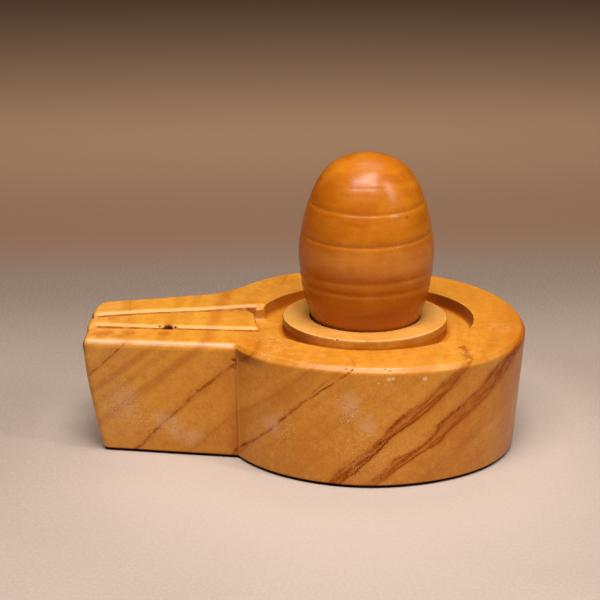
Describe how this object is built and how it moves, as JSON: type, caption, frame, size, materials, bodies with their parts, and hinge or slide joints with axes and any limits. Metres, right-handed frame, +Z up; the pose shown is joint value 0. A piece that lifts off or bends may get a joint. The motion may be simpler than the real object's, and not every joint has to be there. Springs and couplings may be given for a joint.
{
  "type": "shiva lingam stone on a yoni base",
  "caption": "Egg-shaped lingam stone standing on a round carved stone base with a ring channel and a broad flat-ended drain spout with two V-grooves.",
  "frame": {"origin": "on the resting plane, under the axis of the lingam and the pedestal it stands on", "axes": "+Z up along the lingam; the spout points along -X; the long side of the whole lies along X"},
  "size_m": [0.102, 0.0768, 0.0661],
  "materials": {
    "base_stone": "polished honey-yellow stone with dark red-brown veins",
    "lingam_stone": "waxy polished orange-brown stone with fine turned lines"
  },
  "bodies": {
    "root": {"yoni_base": "base_stone", "lingam": "lingam_stone"}
  },
  "joints": []
}
